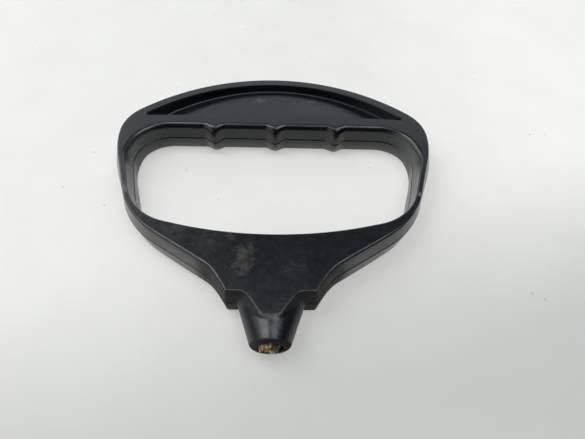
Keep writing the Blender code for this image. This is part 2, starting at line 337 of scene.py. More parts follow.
tongue = tongue_outline()


def nose_top(x, height):
    """How far the nose stands out here: its oval, the tongue, or the hollow between them."""
    oval = nose_oval(x, height)
    aside, y, gap = min(tongue, key=lambda spot: (spot[0] - x) ** 2 + (spot[1] - height) ** 2)
    off = math.hypot(x - aside, height - y)
    if x < tongue_width(height):
        off = -off
    share = max(1.0 - off / (tongue_flare * gap + tongue_foot), 0.0)
    rise = min(oval + gap * share**2, half + tongue_edge)
    blend = max(1.0 - abs(rise - half) / tongue_edge, 0.0)
    return min(rise, half) - blend**2 * tongue_edge / 4


def nose_ring(height):
    """The nose's section, one quarter of it mirrored to the other three."""
    half_width, _ = nose_size(height)
    angles = [math.pi / 2 * step / flank_steps for step in range(flank_steps + 1)]
    places = [half_width * math.cos(angle) for angle in angles]
    front = [(x, nose_top(x, height) if x < half_width else 0.0) for x in places[:-1]]
    front += [(0.0, nose_top(0.0, height))] + [(-x, z) for x, z in reversed(front)]
    return [(x, height, z) for x, z in front + [(-x, -z) for x, z in front[1:-1]]]


def nose_flank(height, level):
    """Half the nose's width at this height and level."""
    inner, outer = 0.0, nose_size(height)[0]
    for _ in range(search_steps):
        middle = (inner + outer) / 2
        if nose_top(middle, height) < level:
            outer = middle
        else:
            inner = middle
    return inner


def nose_root(level, ledge):
    """Half the plate's foot: from inside the nose, by a fillet, out to the shoulder's ledge."""
    foot = ledge.y - nose_foot
    depth = min(abs(level), half - tongue_edge)
    past = min(max((abs(level) - half + edge_radius) / edge_radius, 0.0), 1.0)
    inset = nose_inset + edge_radius * (1.0 - math.sqrt(1.0 - past * past))
    flank = [Vector((nose_flank(height, depth) - inset, height)) for height in (foot, ledge.y)]
    fillet = nose_fillet + (nose_face_fillet - nose_fillet) * (min(abs(level), half) / half) ** 2
    corners = [(flank[0], 0.0), (flank[1], fillet), (ledge, 0.0)]
    return [Vector((0.0, foot))] + rounded(corners, fillet_steps)[:-1]


def arm_line():
    """The point where the arm's outer edge bends, and its direction down from there."""
    bend = Vector((face_half_width, corner_centre.y - arm_bend_drop))
    return bend, Vector((-math.sin(arm_lean), -math.cos(arm_lean)))


def side_path():
    """Half the outer edge on the faces, from the shoulder up the web and arm to the crown."""
    bend, down = arm_line()
    flare = Vector((flare_half_width, flare_height))
    heel = meet(flare, Vector((math.cos(web_rise), math.sin(web_rise))), bend, down)
    path = rounded(
        [
            (Vector((shoulder_half_width - ledge_run * shoulder_radius, shoulder_height)), 0.0),
            (Vector((shoulder_half_width, shoulder_height)), shoulder_radius),
            (flare, flare_radius),
            (heel, heel_radius),
            (bend, arm_bend_radius),
            (Vector((face_half_width, corner_centre.y)), 0.0),
        ]
    )[:-1]
    turn = math.atan2(corner_centre.y - crown_centre_y, corner_centre.x)
    steps = math.ceil(turn / arc_step)
    for step in range(steps):
        angle = turn * step / steps
        path.append(corner_centre + corner_radius * Vector((math.cos(angle), math.sin(angle))))
    for step in range(crown_steps + 1):
        angle = turn + (math.pi / 2 - turn) * step / crown_steps
        arm = crown_radius * Vector((math.cos(angle), math.sin(angle)))
        path.append(Vector((0.0, crown_centre_y)) + arm)
    return path


def mirrored(path):
    """The closed outline of which the path is one half."""
    return path + [Vector((-point.x, point.y)) for point in reversed(path[1:-1])]


def outer_loop(level):
    side = divided(side_path())
    amounts = [
        wall_swell(point.y, level, web_edge(point.y)) + back_step(point.y, level) for point in side
    ]
    side = pushed(side, amounts)
    side[-1].x = 0.0
    return mirrored(nose_root(level, side[0]) + side)


def opening_path():
    """Half the hand opening on the faces, from the top of the middle line to its foot."""
    bend, down = arm_line()
    inward = Vector((-math.cos(arm_lean), math.sin(arm_lean))) * arm_face_side
    side = Vector((face_half_width - arm_face_top, 0.0))
    top = Vector((0.0, length - grip_height))
    knee = meet(bend + inward, down, side, Vector((0.0, 1.0)))
    rise = Vector((opening_floor_radius * math.tan(opening_floor_slope / 2), opening_floor_height))
    slope = Vector((math.cos(opening_floor_slope), math.sin(opening_floor_slope)))
    rest = rounded(
        [
            (Vector((ridge_pitch + ridge_half_width, top.y)), 0.0),
            (Vector((side.x, top.y)), opening_corner_radius),
            (knee, opening_bend_radius),
            (meet(rise, slope, knee, down), opening_heel_radius),
            (rise, opening_floor_radius),
            (Vector((0.0, opening_floor_height)), 0.0),
        ]
    )
    grip_line = []
    for ridge in (0.0, ridge_pitch):
        for step in range(-ridge_steps, ridge_steps + 1):
            x = ridge + ridge_half_width * step / ridge_steps
            if x >= 0.0:
                grip_line.append(Vector((x, top.y)))
    return grip_line + rest[1:]


def ridge_rise(x, level):
    """How far the finger ridges stand out below the grip bar here."""
    offset = x - ridge_pitch * round(x / ridge_pitch)
    if abs(offset) >= ridge_half_width or abs(x) > ridges_end * ridge_pitch:
        return 0.0
    share = 1.0 - (level / half) ** 2
    rise = ridge_rise_edge + (ridge_rise_middle - ridge_rise_edge) * share
    return rise * math.cos(math.pi / 2 * offset / ridge_half_width) ** 2


def arm_fill(point, level):
    """The extra width that the back of each arm has on its inner side."""
    share = smooth_step(fill_low_start, fill_low_end, point.y - opening_floor_height)
    share *= smooth_step(fill_high_end, fill_high_start, length - grip_height - point.y)
    return arm_back_fill * share * min(max(-level / half, 0.0), 1.0)


def eased_knee(path, moved, level):
    """The moved path with its bend below the grip drawn as one even curve, save at the front."""
    bend = [index for index, point in enumerate(path) if knee_low < point.y < knee_high]
    first, last = bend[0], bend[-1]
    start, stop = moved[first], moved[last]
    leave = (moved[first] - moved[first - 1]).normalized() * (stop - start).length
    arrive = (moved[last + 1] - moved[last]).normalized() * (stop - start).length
    share = min(1.0 - level / half, 1.0)
    for index in bend:
        run = (index - first) / (last - first)
        rest = 1.0 - run
        point = start * rest**2 * (1.0 + 2.0 * run) + stop * run**2 * (1.0 + 2.0 * rest)
        point += leave * run * rest**2 - arrive * rest * run**2
        moved[index] = moved[index].lerp(point, share)
    return moved


def opening_loop(level):
    path = divided(opening_path())
    amounts = []
    for point in path:
        amount = wall_swell(point.y, level, grip_edge(point.y)) + arm_fill(point, level)
        if point.y > length - grip_height - flush:
            amount += ridge_rise(point.x, level)
        amounts.append(amount)
    path = eased_knee(path, pushed(path, amounts), level)
    path[0].x = 0.0
    path[-1].x = 0.0
    return mirrored(path)


def wall_rings(loop_at, past=0.0):
    """The sections of a wall; a cutter's are carried on past both faces, for a clean cut."""
    upper = [parting_width / 2, groove_half_width]
    upper += [half * share for share in wall_shares]
    for angle in grip_edge_turns:
        upper.append(half - grip_edge_radius * (1.0 - math.sin(math.radians(angle))))
    for angle in edge_turns:
        upper.append(half - edge_radius * (1.0 - math.sin(math.radians(angle))))
    levels = [-level for level in reversed(upper)] + upper
    rings = [[(point.x, point.y, level) for point in loop_at(level)] for level in levels]
    if past:
        rings.insert(0, [(x, y, z - past) for x, y, z in rings[0]])
        rings.append([(x, y, z + past) for x, y, z in rings[-1]])
    return rings


def recess_ring(x, low, high, share):
    """The recess's section here; share is how far out this is, from 0 to 1 at the tips."""
    floor = recess_web / 2 - recess_tip_drop * share**2
    edge = recess_edge_round
    draft = min(recess_draft, recess_draft_share * (high - low))
    turn = min(recess_floor_round, recess_round_share * (high - low))
    half_section = [(-edge, half + overrun)]
    for angle in recess_edge_turns:
        lean = math.radians(angle)
        half_section.append((-edge * math.sin(lean), half - edge * (1.0 - math.sin(lean))))
    for angle in recess_floor_turns:
        lean = math.radians(angle)
        half_section.append(
            (draft + turn * (1.0 - math.cos(lean)), floor + turn * (1.0 - math.sin(lean)))
        )
    section = [(low + inset, level) for inset, level in half_section]
    section += [(high - inset, level) for inset, level in reversed(half_section)]
    return [(x, y, level) for y, level in section]


def recess_rings(side):
    """The recess's sections across the grip bar, from tip to tip; side is 1 in front, -1 behind."""
    stations = []
    for step in range(recess_stations + 1):
        share = math.sin(math.pi / 2 * (2 * step / recess_stations - 1))
        x = recess_tip * share
        low = length - grip_height + lip_width - recess_edge_sag * share**2
        high = crown_centre_y + math.sqrt((crown_radius - rim_width) ** 2 - x * x)
        stations.append((x, low, high, abs(share)))
    tip, low, high, _ = stations[-1]
    for angle in recess_tip_turns:
        lean = math.radians(angle)
        out = tip + (high - low) / 2 * math.sin(lean)
        pinch = (high - low) / 2 * (1.0 - math.cos(lean))
        stations.append((out, low + pinch, high - pinch, 1.0))
        stations.insert(0, (-out, low + pinch, high - pinch, 1.0))
    rings = [recess_ring(*station) for station in stations]
    return [[(x, y, side * level) for x, y, level in ring] for ring in rings]


def oval_ring(height, half_width, half_depth):
    ring = []
    for step in range(bore_steps):
        angle = 2 * math.pi * step / bore_steps
        ring.append((half_width * math.cos(angle), height, half_depth * math.sin(angle)))
    return ring


def slot_ring(height):
    ring = []
    for x, y, z in oval_ring(height, pocket_half_depth, pocket_half_depth):
        ring.append((x + math.copysign(pocket_half_width - pocket_half_depth, x), y, z))
    return ring


def loft(name, rings):
    """A closed solid through rings of equally many points, in its place in the handle."""
    made = bmesh.new()
    place = Vector((0.0, -centre_y, half))
    rows = [[made.verts.new(Vector(point) + place) for point in ring] for ring in rings]
    for lower, upper in zip(rows, rows[1:]):
        for index in range(len(lower)):
            after = (index + 1) % len(lower)
            made.faces.new((lower[index], lower[after], upper[after], upper[index]))
    made.faces.new(list(reversed(rows[0])))
    made.faces.new(rows[-1])
    bmesh.ops.recalc_face_normals(made, faces=made.faces)
    mesh = bpy.data.meshes.new(name)
    made.to_mesh(mesh)
    made.free()
    obj = bpy.data.objects.new(name, mesh)
    bpy.context.scene.collection.objects.link(obj)
    return obj


def finished_mesh(obj):
    """The object's mesh with its modifiers applied, which are then taken off."""
    graph = bpy.context.evaluated_depsgraph_get()
    mesh = bpy.data.meshes.new_from_object(obj.evaluated_get(graph), depsgraph=graph)
    obj.modifiers.clear()
    return mesh


nose_heights = [nose_end_round * (1.0 - math.cos(math.radians(a))) for a in nose_end_turns]
cone_length = shoulder_height + overrun - nose_end_round
for step in range(cone_steps + 1):
    nose_heights.append(nose_end_round + cone_length * step / cone_steps)
bore_ends = (-overrun, pocket_floor_height + overrun)
pocket_ends = (pocket_floor_height, opening_floor_height + web_swell + overrun)

body = loft("moulded_handle", wall_rings(outer_loop))
changes = [
    ("nose", [nose_ring(height) for height in nose_heights], "UNION"),
    ("hand_opening", wall_rings(opening_loop, overrun), "DIFFERENCE"),
    ("front_recess", recess_rings(1), "DIFFERENCE"),
    ("back_recess", recess_rings(-1), "DIFFERENCE"),
    ("rope_bore", [oval_ring(h, bore_radius, bore_radius) for h in bore_ends], "DIFFERENCE"),
    ("knot_pocket", [slot_ring(h) for h in pocket_ends], "DIFFERENCE"),
]
cutters = [loft(name, rings) for name, rings, _ in changes]
for cutter, (name, _, operation) in zip(cutters, changes):
    cut = body.modifiers.new(name, "BOOLEAN")
    cut.operation = operation
    cut.solver = "EXACT"
    cut.object = cutter
body.data = finished_mesh(body)
for cutter in cutters:
    bpy.data.objects.remove(cutter, do_unlink=True)

made = bmesh.new()
made.from_mesh(body.data)
bmesh.ops.remove_doubles(made, verts=made.verts, dist=weld)
bmesh.ops.dissolve_degenerate(made, edges=made.edges, dist=sliver)
made.to_mesh(body.data)
made.free()
body.data.shade_smooth()
body.data.set_sharp_from_angle(angle=crease)
even = body.modifiers.new("even shading", "WEIGHTED_NORMAL")
even.keep_sharp = True
body.data = finished_mesh(body)


def put(tree, kind, feeds=None, **settings):
    """Adds a node; feeds gives its sockets a value, or the output of another node."""
    made = tree.nodes.new(kind)
    for name, value in settings.items():
        setattr(made, name, value)
    for name, value in (feeds or {}).items():
        if isinstance(value, bpy.types.NodeSocket):
            tree.links.new(value, made.inputs[name])
        else:
            made.inputs[name].default_value = value
    return made


def ramp(tree, value, low, high, start=0.0, stop=1.0):
    """The value's way from low to high, eased, and given as start to stop."""
    feeds = {0: value, 1: low, 2: high, 3: start, 4: stop}
    return put(tree, "ShaderNodeMapRange", feeds, interpolation_type="SMOOTHSTEP").outputs[0]


def sums(tree, operation, first, second=0.0):
    return put(tree, "ShaderNodeMath", {0: first, 1: second}, operation=operation).outputs[0]


def vector_sums(tree, operation, first, second):
    feeds = {0: first, 1: second}
    return put(tree, "ShaderNodeVectorMath", feeds, operation=operation).outputs[0]


def times(tree, first, *others):
    """All the values multiplied, one after the other."""
    for other in others:
        first = sums(tree, "MULTIPLY", first, other)
    return first


def besides(tree, share):
    """What is left of one beside the share."""
    return sums(tree, "SUBTRACT", 1.0, share)


def between(tree, value, low, high, soft):
    """How far a value lies between two limits, with soft ends."""
    entered = ramp(tree, value, low - soft, low + soft)
    return times(tree, entered, ramp(tree, value, high + soft, high - soft))


def tint(tree, share, first, second):
    """A mix of two colours, each a colour or the output of another node."""
    made = put(tree, "ShaderNodeMix", data_type="RGBA")
    for index, value in ((0, share), (6, first), (7, second)):
        if isinstance(value, bpy.types.NodeSocket):
            tree.links.new(value, made.inputs[index])
        elif index:
            made.inputs[index].default_value = (*value, 1.0)
        else:
            made.inputs[index].default_value = value
    return made.outputs[2]


def coated(tree, colour, coat, *shares):
    """The colour with a coat over it, as dense as its shares multiplied."""
    return tint(tree, times(tree, *shares), colour, coat)


def noise(tree, place, scale, detail=3.0, roughness=0.5, distortion=0.0):
    feeds = {"Vector": place, "Scale": scale, "Detail": detail}
    feeds.update({"Roughness": roughness, "Distortion": distortion})
    return put(tree, "ShaderNodeTexNoise", feeds).outputs["Fac"]


def specks(tree, place, scale, rarity, size):
    """Small dots at some of the cells' middles; rarity and size are the limits of two ramps."""
    cells = put(tree, "ShaderNodeTexVoronoi", {"Vector": place, "Scale": scale}).outputs
    chance = put(tree, "ShaderNodeSeparateColor", {0: cells["Color"]}).outputs[0]
    return times(tree, ramp(tree, cells["Distance"], *size), ramp(tree, chance, *rarity))


def new_material(name):
    made = bpy.data.materials.new(name)
    made.use_nodes = True
    made.node_tree.nodes["Principled BSDF"].name = "surface"
    return made, made.node_tree, made.node_tree.nodes["surface"]


plastic_black = (0.0042, 0.0054, 0.0094)
plastic_dust = (0.040, 0.042, 0.044)
plastic_wall_dust_and_reflection = (0.024, 0.025, 0.021)
plastic_upper_reflection = (0.062, 0.064, 0.064)
plastic_low_reflection = (0.100, 0.099, 0.094)
plastic_edge_highlight = (0.120, 0.126, 0.132)
plastic_inner_reflection = (0.070, 0.072, 0.074)
plastic_groove_shade = (0.0015, 0.0015, 0.0015)
plastic_shoulder_shade = (0.010, 0.010, 0.006)
plastic_speck = (0.30, 0.30, 0.29)
plastic_scuff = (0.085, 0.085, 0.085)
plastic_film = (0.062, 0.060, 0.048)
plastic_index = 1.5
dust_density = 0.035
wall_dust_and_reflection_density = 0.35
side_reflection_density = 0.85
edge_highlight_density = 0.70
light_line_density = 0.95
inner_reflection_density = 0.8
groove_shade_density = 0.9
grit_density = 0.35
scratch_density = 0.16
# one row for each film or mark: its centre, its half sizes and its density
film_spots = (
    ((-0.0098, -0.0350, 0.0141), (0.0042, 0.0068, 0.01), 0.72),
    ((-0.0236, -0.0310, 0.0141), (0.0046, 0.0040, 0.01), 0.22),
    ((-0.0348, -0.0241, 0.0141), (0.0050, 0.0022, 0.01), 0.30),
    ((-0.0146, -0.0262, 0.0141), (0.0022, 0.0026, 0.01), 0.36),
)
film_core = 0.45
plastic_marks = (
    ((-0.0568, -0.0065, 0.0141), (0.0016, 0.0036, 0.004), 0.30),
    ((0.0566, -0.0061, 0.0141), (0.0009, 0.0012, 0.004), 0.90),
    ((-0.0075, 0.0512, 0.0105), (0.0034, 0.0016, 0.006), 0.16),
    ((0.0165, 0.0512, 0.0105), (0.0016, 0.0013, 0.006), 0.14),
    ((0.0180, 0.0455, 0.0105), (0.0160, 0.0060, 0.006), 0.035),
    # the last row is a painted highlight on the nose's top, lighter where its glossy streak falls
    ((0.0006, -0.0604, 0.0138), (0.0030, 0.0040, 0.002), 0.18),
)
mark_core = 0.6
# places on the handle where a finish starts and is full, along its length, width or thickness
shoulder_place = shoulder_height - centre_y
nose_start = (shoulder_place - 0.0004, shoulder_place + 0.0002)
nose_skin_start = (shoulder_place + 0.001, shoulder_place - 0.001)
dull_shoulder = (-0.0345, -0.0390)
end_face_place = (-0.0630, -0.0640)
grip_underside = (0.012, 0.018)
grip_hole_span = (0.0095, 0.0380, 0.005)
grip_hole_sides = (0.0640, 0.0625)
ledge_reach = (0.0088, 0.0096)
ledge_level = (0.0135, 0.01365)
rim_level = (0.01365, 0.01385)
wall_dust_and_reflection_fade = (0.0135, 0.0100)
upper_reflection_start = (half - 0.0001, half + 0.0001)
upper_reflection_fade = (0.0135, 0.0080)
low_reflection_start = (half, half - 0.0003)
low_reflection_fade = (half - 0.0002, 0.0005)
light_line_top = (0.0062, 0.0020)
light_line_foot = (0.0012, 0.0018)
parting_band = (half - 0.00030, half + 0.00012, 0.00006)
# how fine each pattern is: its waves or cells in a metre
cloud_scale = 85.0
fine_cloud_scale = 420.0
wall_cloud_scale = 130.0
edge_highlight_scale = 260.0
film_scale = 240.0
mark_scale = 700.0
grit_scale = 520.0
scratched_scale = 70.0
grain_scale = 1500.0
wave_scale = 90.0
pit_scale = 520.0
# one row for each set of scratches: the turn of its lines, and their scale each way
scratch_sets = ((0.35, (35.0, 900.0, 35.0)), (-0.9, (28.0, 700.0, 28.0)))
grain_height = 0.25
wave_height = 0.9
scratch_depth = 0.10
relief_depth = 0.0002
relief_strength = 0.35
gloss_range = (0.21, 0.27)
dust_roughness = 0.035
dull_roughness = 0.45
nose_roughness = 0.09
end_face_roughness = 0.25

moulded_plastic, tree, surface = new_material("black moulded plastic")
texture_place = put(tree, "ShaderNodeTexCoord").outputs
place = texture_place["Object"]
spot = put(tree, "ShaderNodeSeparateXYZ", {0: place}).outputs
facing = put(tree, "ShaderNodeSeparateXYZ", {0: texture_place["Normal"]}).outputs
upright = sums(tree, "ABSOLUTE", facing["Z"])
sideways = sums(tree, "ABSOLUTE", spot["X"])
outward = times(tree, facing["X"], spot["X"])

# dust lies in faint clouds, and on the walls where nothing wipes it off; the walls' lighter grey is
# partly that dust and partly a painted reflection
cloud = noise(tree, place, cloud_scale, 5.0, 0.6, 0.3)
fine_cloud = noise(tree, place, fine_cloud_scale, 4.0, 0.65)
film = times(tree, ramp(tree, cloud, 0.40, 0.75), ramp(tree, fine_cloud, 0.25, 0.80, 0.5, 1.0))
colour = coated(tree, plastic_black, plastic_dust, film, dust_density)
wall = ramp(tree, upright, 0.75, 0.30)
wall_cloud = noise(tree, place, wall_cloud_scale, 4.0, 0.6)
wall_cloud = ramp(tree, wall_cloud, 0.30, 0.70, 0.25, 1.0)
wall_dust_and_reflection = times(tree, wall, wall_cloud, ramp(tree, spot["Z"], *wall_dust_and_reflection_fade, 0.2, 1.0))
colour = coated(tree, colour, plastic_wall_dust_and_reflection, wall_dust_and_reflection, wall_dust_and_reflection_density)

# painted reflection: outside the opening the walls are painted lighter grey on each side of the
# parting line, for the bright room reflected above it and the floor reflected below it
under_grip = times(
    tree, ramp(tree, spot["Y"], *grip_underside), ramp(tree, facing["Y"], -0.15, -0.35)
)
grip_hole = times(
    tree, between(tree, spot["Y"], *grip_hole_span), ramp(tree, sideways, *grip_hole_sides)
)
elsewhere = besides(tree, sums(tree, "MAXIMUM", under_grip, grip_hole))
outer_arm = times(tree, ramp(tree, facing["Y"], -0.65, -0.40), ramp(tree, outward, 0.0, 0.02))
upper = times(tree, wall, elsewhere, ramp(tree, spot["Z"], *upper_reflection_start))
upper = times(tree, upper, besides(tree, outer_arm))
upper = times(tree, upper, ramp(tree, spot["Z"], *upper_reflection_fade, 0.05, 1.0))
colour = coated(tree, colour, plastic_upper_reflection, upper, wall_cloud, side_reflection_density)
lower = times(tree, wall, elsewhere, ramp(tree, spot["Z"], *low_reflection_fade, 0.15, 1.0))
lower = times(tree, lower, ramp(tree, spot["Z"], *low_reflection_start))
colour = coated(tree, colour, plastic_low_reflection, lower, wall_cloud, side_reflection_density)

# painted highlight: the rounded edges, then the thin one round the web's tongue, are painted light
# grey in broken streaks where their highlights fall
nose_side = ramp(tree, spot["Y"], *nose_start)
ledge_side = times(
    tree, ramp(tree, sideways, *ledge_reach), ramp(tree, spot["Z"], *ledge_level)
)
rounding_highlight = times(
    tree,
    between(tree, upright, 0.79, 0.96, 0.035),
    sums(tree, "MAXIMUM", nose_side, ledge_side),
    elsewhere,
)
tongue_rim_highlight = times(
    tree, ramp(tree, spot["Z"], *rim_level), between(tree, upright, 0.60, 0.985, 0.015)
)
edge_highlight = sums(tree, "MAXIMUM", rounding_highlight, times(tree, tongue_rim_highlight, besides(tree, nose_side)))
edge_highlight_breaks = noise(tree, place, edge_highlight_scale, 4.0, 0.65)
edge_highlight_breaks = ramp(tree, edge_highlight_breaks, 0.28, 0.68, 0.15, 1.0)
colour = coated(tree, colour, plastic_edge_highlight, edge_highlight, edge_highlight_breaks, edge_highlight_density)

# painted reflection: a light line along the grip's lower back edge, where it reflects the floor,
# and lighter grey on the arms' inner walls, for the bright floor they reflect
floor_reflection_line = times(
    tree, ramp(tree, spot["Z"], *light_line_top), ramp(tree, spot["Z"], *light_line_foot)
)
colour = coated(tree, colour, plastic_edge_highlight, floor_reflection_line, under_grip, light_line_density)
inward = ramp(tree, outward, -0.005, -0.060)
colour = coated(tree, colour, plastic_inner_reflection, inward, inner_reflection_density)

# painted shade: the groove of the parting line is painted darker
parting = between(tree, spot["Z"], *parting_band)
colour = coated(tree, colour, plastic_groove_shade, parting, wall, groove_shade_density)


def blot(tree, place, centre, half_size, core, rag):
    """A patch that is full inside its core and gone at its ragged rim."""
    off = vector_sums(tree, "SUBTRACT", place, centre)
    off = vector_sums(tree, "DIVIDE", off, half_size)
    far = put(tree, "ShaderNodeVectorMath", {0: off}, operation="LENGTH").outputs["Value"]
    ragged = sums(tree, "ADD", far, ramp(tree, rag, 0.2, 0.8, -0.6, 0.6))
    return ramp(tree, ragged, 1.0, core)


# a dried film of oil in the middle of the web, and three fainter ones to its left
face = ramp(tree, upright, 0.90, 0.97)
film_rag = noise(tree, place, film_scale, 4.0, 0.65, 0.8)
film_grain = ramp(tree, fine_cloud, 0.30, 0.60, 0.4, 1.0)
for centre, half_size, density in film_spots:
    stain = blot(tree, place, centre, half_size, film_core, film_rag)
    colour = coated(tree, colour, plastic_film, stain, film_grain, face, density)

# a scuff on the left arm, a chip on the right one, rubbed places in the recess, and a painted
# highlight on the nose
mark_rag = noise(tree, place, mark_scale, 3.0, 0.7)
mark_grain = ramp(tree, fine_cloud, 0.35, 0.62, 0.25, 1.0)
for centre, half_size, density in plastic_marks:
    mark = blot(tree, place, centre, half_size, mark_core, mark_rag)
    colour = coated(tree, colour, plastic_speck, mark, mark_grain, density)

# specks of grit
grit = specks(tree, place, grit_scale, rarity=(0.955, 0.985), size=(0.15, 0.06))
colour = coated(tree, colour, plastic_speck, grit, grit_density)

# fine scratches from use, in two sets that cross
scratched = ramp(tree, noise(tree, place, scratched_scale, 2.0), 0.55, 0.70)
scratch = 0.0
for turn, scale in scratch_sets:
    feeds = {"Vector": place, "Rotation": (0.0, 0.0, turn), "Scale": scale}
    feeds = {"Vector": put(tree, "ShaderNodeMapping", feeds).outputs[0], "Scale": 1.0}
    lines = put(tree, "ShaderNodeTexVoronoi", feeds, feature="DISTANCE_TO_EDGE")
    thin = ramp(tree, lines.outputs["Distance"], 0.030, 0.0)
    scratch = sums(tree, "MAXIMUM", times(tree, thin, scratched), scratch)
colour = coated(tree, colour, plastic_scuff, scratch, scratch_density)

# the shoulder is dull, its walls that face the nose end painted darker in patches as painted shade,
# the nose pitted, and its end face dull
dull = times(tree, ramp(tree, spot["Y"], *dull_shoulder), ramp(tree, facing["Y"], -0.25, -0.50))
shade_patches = ramp(tree, cloud, 0.38, 0.58, 0.0, 0.85)
colour = coated(tree, colour, plastic_shoulder_shade, dull, wall, shade_patches)
nose_skin = times(
    tree, ramp(tree, spot["Y"], *nose_skin_start), ramp(tree, upright, 0.995, 0.97)
)
end_face = times(
    tree, ramp(tree, spot["Y"], *end_face_place), ramp(tree, facing["Y"], -0.5, -0.8)
)
rough = ramp(tree, fine_cloud, 0.3, 0.7, *gloss_range)
for share, roughness in (
    (film, dust_roughness),
    (dull, dull_roughness),
    (nose_skin, nose_roughness),
    (end_face, end_face_roughness),
):
    rough = sums(tree, "ADD", rough, times(tree, share, roughness))

# moulded grain and long waves of the surface, the scratches, the parting line and the pits
grain = noise(tree, place, grain_scale, 3.0, 0.6)
wave = noise(tree, place, wave_scale, 2.0, 0.4)
pits = noise(tree, place, pit_scale, 3.0, 0.6)
relief = sums(tree, "ADD", times(tree, grain, grain_height), times(tree, wave, wave_height))
relief = sums(tree, "SUBTRACT", relief, times(tree, scratch, scratch_depth))
relief = sums(tree, "SUBTRACT", relief, times(tree, parting, wall))
relief = sums(tree, "ADD", relief, times(tree, nose_skin, pits))
feeds = {"Strength": relief_strength, "Distance": relief_depth, "Height": relief}
bump = put(tree, "ShaderNodeBump", feeds)
tree.links.new(colour, surface.inputs["Base Color"])
tree.links.new(rough, surface.inputs["Roughness"])
tree.links.new(bump.outputs["Normal"], surface.inputs["Normal"])
surface.inputs["IOR"].default_value = plastic_index
body.data.materials.clear()
body.data.materials.append(moulded_plastic)
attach(body, "root")
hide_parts("handle_body")

# Rope stub
# A short end of the starter rope, braided of straw-coloured fibre and cut off level with the
# nose. It lies in the bore with a little slack, held by a tight knot in the pocket behind it.
rope_slack = 0.00065
rope_end_inset = 0.0006
rope_lie = math.radians(217.0)
rope_clearance = 0.0003
knot_side_gap = 0.0013
knot_face_gap = 0.0006
knot_sink = 0.00145
rope_radius = bore_radius - rope_slack
strand_count = 12
strand_radius = 0.00058
strand_points = 300
strand_sides = 7
braid_depth = 0.00030
braid_turn = 0.024
braid_seed = 3
bore_points = 15
knot_points = 30
knot_rope_radius = 0.00195
knot_first_degrees = -60.0
knot_turn_degrees = 460.0
knot_closing = 1.08
knot_roundness = 0.6
knot_lift = 0.6
knot_headroom = 1.1
knot_taper = 6.0

# the rope's middle line: straight in the bore, then one tight turn about itself
slack = bore_radius - rope_radius - rope_clearance
lie = Vector((slack * math.cos(rope_lie), 0.0, slack * math.sin(rope_lie)))
knot_low = pocket_floor_height + rope_clearance
knot_high = opening_floor_height + web_swell - knot_sink
knot_wide = pocket_half_width - knot_side_gap - knot_rope_radius
knot_deep = pocket_half_depth - knot_face_gap - knot_rope_radius
knot_climb = knot_high - knot_low - knot_rope_radius * knot_headroom
route = []
for step in range(bore_points):
    height = rope_end_inset + (knot_low - rope_end_inset) * step / (bore_points - 1)
    route.append((lie + Vector((0.0, height, 0.0)), rope_radius))
for step in range(1, knot_points + 1):
    share = step / knot_points
    angle = math.radians(knot_first_degrees + knot_turn_degrees * share)
    out = math.sin(math.pi * min(share * knot_closing, 1.0)) ** knot_roundness
    height = knot_low + knot_rope_radius * knot_lift + knot_climb * share
    point = Vector((knot_wide * math.cos(angle) * out, height, knot_deep * math.sin(angle) * out))
    thinning = max(1.0 - knot_taper * share, 0.0)
    route.append((point, knot_rope_radius + (rope_radius - knot_rope_radius) * thinning))
path = bpy.data.curves.new("rope path", "CURVE")
path.dimensions = "3D"
spline = path.splines.new("POLY")
spline.points.add(len(route) - 1)
for point, (spot, radius) in zip(spline.points, route):
    point.co = (spot.x, spot.y - centre_y, spot.z + half, 1.0)
    point.radius = radius / rope_radius
rope = bpy.data.objects.new("rope path", path)
bpy.context.scene.collection.objects.link(rope)


def new_group(name, given, sizes):
    """A Geometry Nodes tree that works on what is given, and its sizes' sockets by name."""
    made = bpy.data.node_groups.new(name, "GeometryNodeTree")
    made.is_modifier = True
    made.interface.new_socket(given, in_out="INPUT", socket_type="NodeSocketGeometry")
    sockets = {}
    for label, (kind, value) in sizes.items():
        socket = made.interface.new_socket(
            label, in_out="INPUT", socket_type="NodeSocket" + kind
        )
        socket.default_value = value
        sockets[label] = socket.identifier
    made.interface.new_socket("Geometry", in_out="OUTPUT", socket_type="NodeSocketGeometry")
    return made, sockets


def grown(obj, tree, sockets, sizes):
    """The mesh that the tree makes on the object with these sizes."""
    modifier = obj.modifiers.new(tree.name, "NODES")
    modifier.node_group = tree
    for label, value in sizes.items():
        modifier[sockets[label]] = value
    return finished_mesh(obj)


def scaled(tree, vector, amount):
    feeds = {0: vector, "Scale": amount}
    return put(tree, "ShaderNodeVectorMath", feeds, operation="SCALE").outputs[0]


def noted(tree, geometry, name, value, domain):
    """The geometry with a number stored on it, for the material to read."""
    feeds = {"Geometry": geometry, "Name": name, "Value": value}
    settings = {"domain": domain, "data_type": "FLOAT"}
    return put(tree, "GeometryNodeStoreNamedAttribute", feeds, **settings).outputs[0]


def tube(tree, curve, radius, sides, named=None):
    """A closed tube along the curve; named stores the way round it as a number."""
    feeds = {"Resolution": sides, "Radius": radius}
    ring = put(tree, "GeometryNodeCurvePrimitiveCircle", feeds, mode="RADIUS").outputs[0]
    if named:
        way = put(tree, "GeometryNodeSplineParameter").outputs["Factor"]
        way = sums(tree, "SUBTRACT", sums(tree, "MULTIPLY", way, 2.0), 1.0)
        ring = noted(tree, ring, named, sums(tree, "ABSOLUTE", way), "POINT")
    feeds = {"Curve": curve, "Profile Curve": ring, "Fill Caps": True}
    return put(tree, "GeometryNodeCurveToMesh", feeds).outputs[0]


